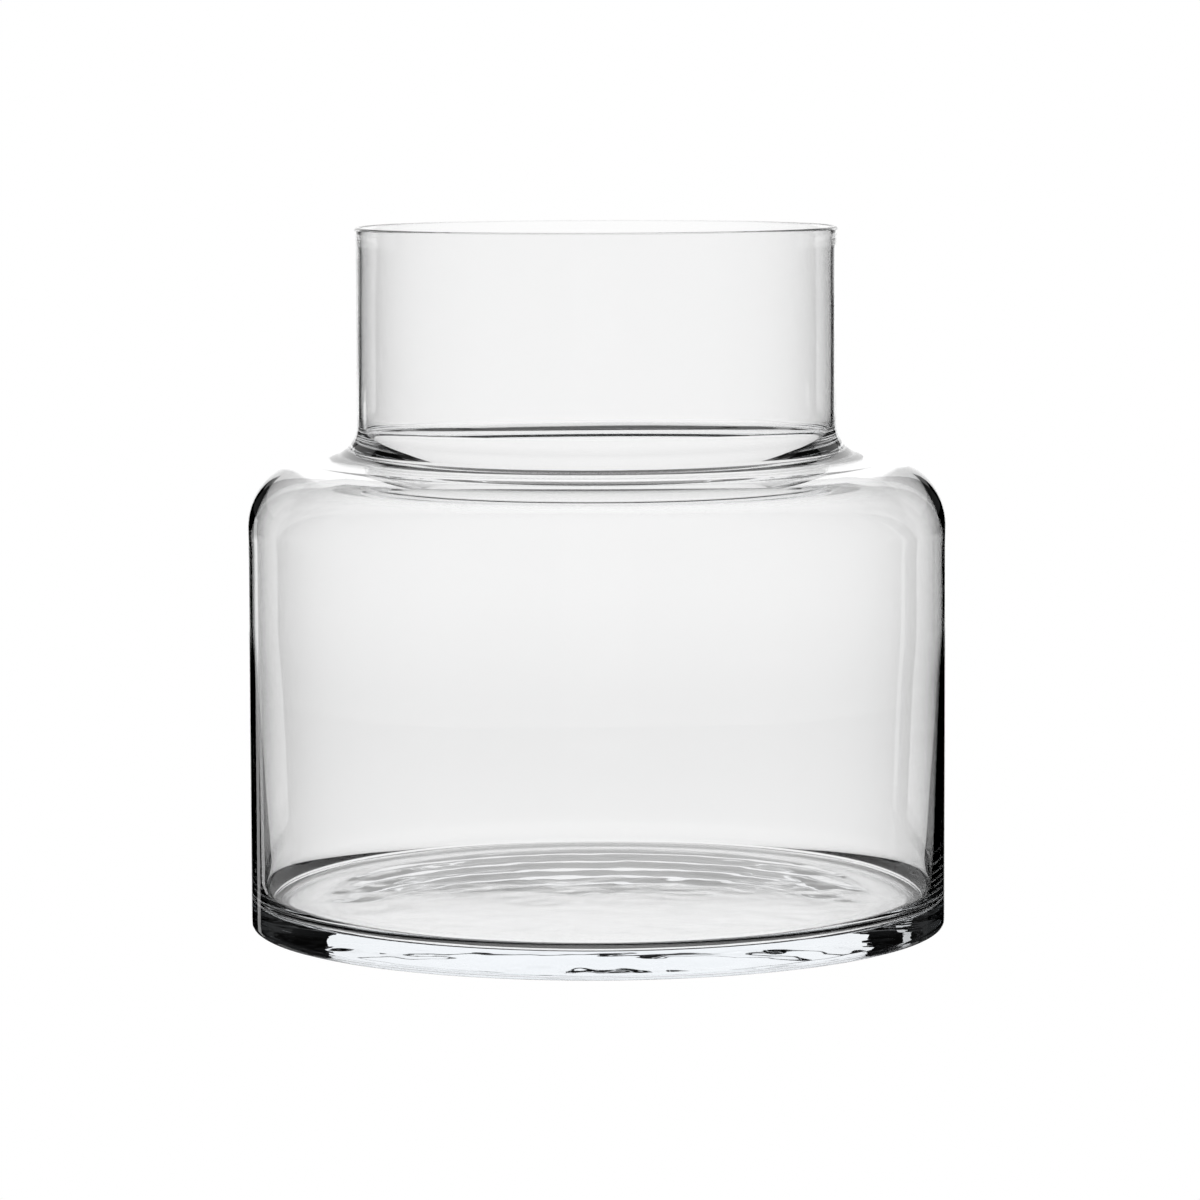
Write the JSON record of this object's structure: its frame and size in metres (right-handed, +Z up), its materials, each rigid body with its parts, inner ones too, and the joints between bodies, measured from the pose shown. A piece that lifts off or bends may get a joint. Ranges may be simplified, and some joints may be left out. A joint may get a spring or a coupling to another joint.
{
  "type": "glass vase",
  "caption": "Free-standing clear blown-glass vase: wide straight body, rounded shoulder, narrower straight neck with a fire-polished rim, and a thick heavy base.",
  "frame": {"origin": "middle of the foot, on the surface that the vase stands on", "axes": "+Z up along the vase's axis, from the foot to the mouth; X and Y are alike"},
  "size_m": [0.1992, 0.1992, 0.2],
  "materials": {
    "clear_glass": "clear, fire-polished, blown"
  },
  "bodies": {
    "root": {"rim": "clear_glass", "neck": "clear_glass", "shoulder": "clear_glass", "upper_wall": "clear_glass", "lower_wall": "clear_glass", "base": "clear_glass"}
  },
  "joints": []
}
